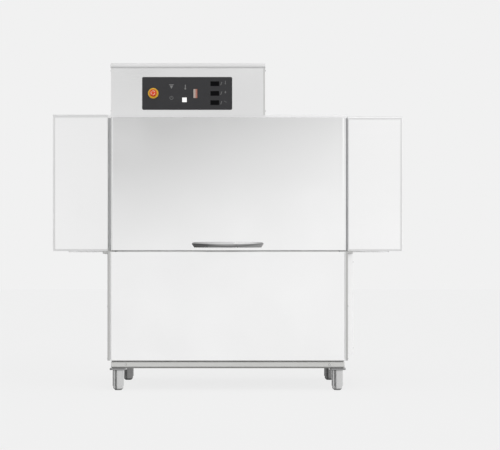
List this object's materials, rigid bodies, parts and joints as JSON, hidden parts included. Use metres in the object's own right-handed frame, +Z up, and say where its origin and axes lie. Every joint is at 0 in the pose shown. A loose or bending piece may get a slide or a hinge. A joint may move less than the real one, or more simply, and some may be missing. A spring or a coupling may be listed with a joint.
{
  "type": "rack conveyor dishwasher",
  "caption": "Stainless tunnel dishwasher on feet: lift-up wash door, splash hoods at both ends, rack conveyor inside, control box with stop button on top.",
  "frame": {"origin": "on the floor, in the middle of the overall length and depth", "axes": "+Z up, +X the way the racks travel, the door and controls face -Y"},
  "size_m": [2.008, 0.8214, 1.879],
  "materials": {
    "stainless_panel": "brushed stainless sheet, light satin",
    "stainless_inner": "satin stainless sheet",
    "steel_frame": "satin stainless profile",
    "polished_tube": "polished stainless tube",
    "grey_plastic": "moulded grey plastic",
    "black_panel": "satin black foil",
    "dark_glass": "glossy smoked window",
    "lamp_orange": "clear orange lens",
    "yellow_plastic": "yellow moulded plastic",
    "red_plastic": "red moulded plastic",
    "white_key": "lit white key cap",
    "black_plastic": "black moulded plastic",
    "curtain_rubber": "flexible curtain sheet",
    "cast_pump": "painted casting",
    "machined_steel": "machined steel",
    "pvc_drain": "grey pipe plastic",
    "spring_steel": "blued spring strip"
  },
  "bodies": {
    "machine": {"adjustable_feet": "polished_tube", "base_frame": "steel_frame", "cable_gland": "black_plastic", "control_box_front": "stainless_panel", "control_box_lid": "stainless_panel", "control_box_shell": "stainless_panel", "control_panel": "black_panel", "corner_posts": "steel_frame", "curtain_rods": "machined_steel", "deck": "stainless_inner", "display_windows": "dark_glass", "drain_pipe": "pvc_drain", "drive_gearmotor": "cast_pump", "entry_hood": "stainless_panel", "entry_side_wall": "stainless_inner", "estop_ring": "yellow_plastic", "exit_hood": "stainless_panel", "exit_side_wall": "stainless_inner", "floor_pan": "stainless_inner", "frame_bolts": "machined_steel", "left_side_panel": "stainless_panel", "leg_sleeves": "polished_tube", "lower_front_panel": "stainless_panel", "rear_panel": "stainless_panel", "right_service_cover": "stainless_panel", "right_side_panel": "stainless_panel", "rinse_boiler": "stainless_inner", "rinse_pipework": "machined_steel", "roof_cover": "stainless_panel", "signal_lamp": "lamp_orange", "switch_housings": "black_plastic", "table_flanges": "steel_frame", "tank_filters": "stainless_inner", "track_rails": "stainless_inner", "tunnel_collars": "stainless_inner", "wash_chamber": "stainless_inner", "wash_pipework": "stainless_inner", "wash_pump": "cast_pump", "wash_tank": "stainless_inner", "left_spring_tape": "spring_steel", "right_spring_tape": "spring_steel"},
    "door": {"door_panel": "stainless_panel", "door_liner": "stainless_inner", "door_runners": "black_plastic", "door_handle": "stainless_panel"},
    "left_reel": {"left_spring_reel": "black_plastic"},
    "right_reel": {"right_spring_reel": "black_plastic"},
    "stop_stem": {"estop_stem": "black_plastic"},
    "stop_head": {"estop_head": "red_plastic"},
    "start_key": {"start_key": "white_key"},
    "entry_curtain": {"entry_curtain": "curtain_rubber"},
    "exit_curtain": {"exit_curtain": "curtain_rubber"},
    "drive_lever": {"drive_lever": "machined_steel"},
    "pawl_bar": {"pawl_bar": "machined_steel"},
    "pawl_1": {"pawl_1": "machined_steel"},
    "pawl_2": {"pawl_2": "machined_steel"},
    "pawl_3": {"pawl_3": "machined_steel"},
    "pawl_4": {"pawl_4": "machined_steel"},
    "overflow_pipe": {"overflow_pipe": "stainless_inner"},
    "pump_rotor": {"pump_rotor": "machined_steel"}
  },
  "joints": [
    {"name": "door_lift", "type": "slide", "parent": "machine", "child": "door", "axis": [0, 0, 1], "range_m": [0, 0.48], "deforming": ["left_spring_tape", "right_spring_tape"]},
    {"name": "left_reel_turn", "type": "hinge", "parent": "machine", "child": "left_reel", "pos_m": [-0.661, -0.311, 1.53], "axis": [-1, 0, 0], "range_deg": [0, 1229.8]},
    {"name": "right_reel_turn", "type": "hinge", "parent": "machine", "child": "right_reel", "pos_m": [0.661, -0.311, 1.53], "axis": [-1, 0, 0], "range_deg": [0, 1229.8]},
    {"name": "stop_press", "type": "slide", "parent": "machine", "child": "stop_stem", "axis": [0, 1, 0], "range_m": [0, 0.005]},
    {"name": "stop_twist", "type": "hinge", "parent": "stop_stem", "child": "stop_head", "pos_m": [-0.43, -0.325, 1.71], "axis": [0, 1, 0], "range_deg": [0, 45]},
    {"name": "start_press", "type": "slide", "parent": "machine", "child": "start_key", "axis": [0, 1, 0], "range_m": [0, 0.002], "stiffness_N_per_m": 400},
    {"name": "entry_curtain_swing", "type": "hinge", "parent": "machine", "child": "entry_curtain", "pos_m": [-0.661, -0.012, 1.33], "axis": [0, -1, 0], "range_deg": [-20, 60]},
    {"name": "exit_curtain_swing", "type": "hinge", "parent": "machine", "child": "exit_curtain", "pos_m": [0.661, -0.012, 1.33], "axis": [0, -1, 0], "range_deg": [-20, 60]},
    {"name": "drive_lever_swing", "type": "hinge", "parent": "machine", "child": "drive_lever", "pos_m": [0.15, 0.35, 0.816], "axis": [0, 0, 1], "range_deg": [-25, 25]},
    {"name": "pawl_bar_slide", "type": "slide", "parent": "machine", "child": "pawl_bar", "axis": [1, 0, 0], "range_m": [-0.09, 0.09]},
    {"name": "pawl_1_tip", "type": "hinge", "parent": "pawl_bar", "child": "pawl_1", "pos_m": [-0.45, 0.1395, 0.852], "axis": [0, 1, 0], "range_deg": [0, 45]},
    {"name": "pawl_2_tip", "type": "hinge", "parent": "pawl_bar", "child": "pawl_2", "pos_m": [-0.15, 0.1395, 0.852], "axis": [0, 1, 0], "range_deg": [0, 45]},
    {"name": "pawl_3_tip", "type": "hinge", "parent": "pawl_bar", "child": "pawl_3", "pos_m": [0.15, 0.1395, 0.852], "axis": [0, 1, 0], "range_deg": [0, 45]},
    {"name": "pawl_4_tip", "type": "hinge", "parent": "pawl_bar", "child": "pawl_4", "pos_m": [0.45, 0.1395, 0.852], "axis": [0, 1, 0], "range_deg": [0, 45]},
    {"name": "overflow_lift", "type": "slide", "parent": "machine", "child": "overflow_pipe", "axis": [0, 0, 1], "range_m": [0, 0.06]},
    {"name": "pump_turn", "type": "hinge", "parent": "machine", "child": "pump_rotor", "pos_m": [-0.06, -0.012, 0.415], "axis": [0, 0, 1], "continuous": true}
  ],
  "couplings": [
    {"joint": "left_reel_turn", "follows": "door_lift", "rad_per_m": 44.643},
    {"joint": "right_reel_turn", "follows": "door_lift", "rad_per_m": 44.643},
    {"joint": "pawl_bar_slide", "follows": "drive_lever_swing", "m_per_rad": 0.197}
  ]
}
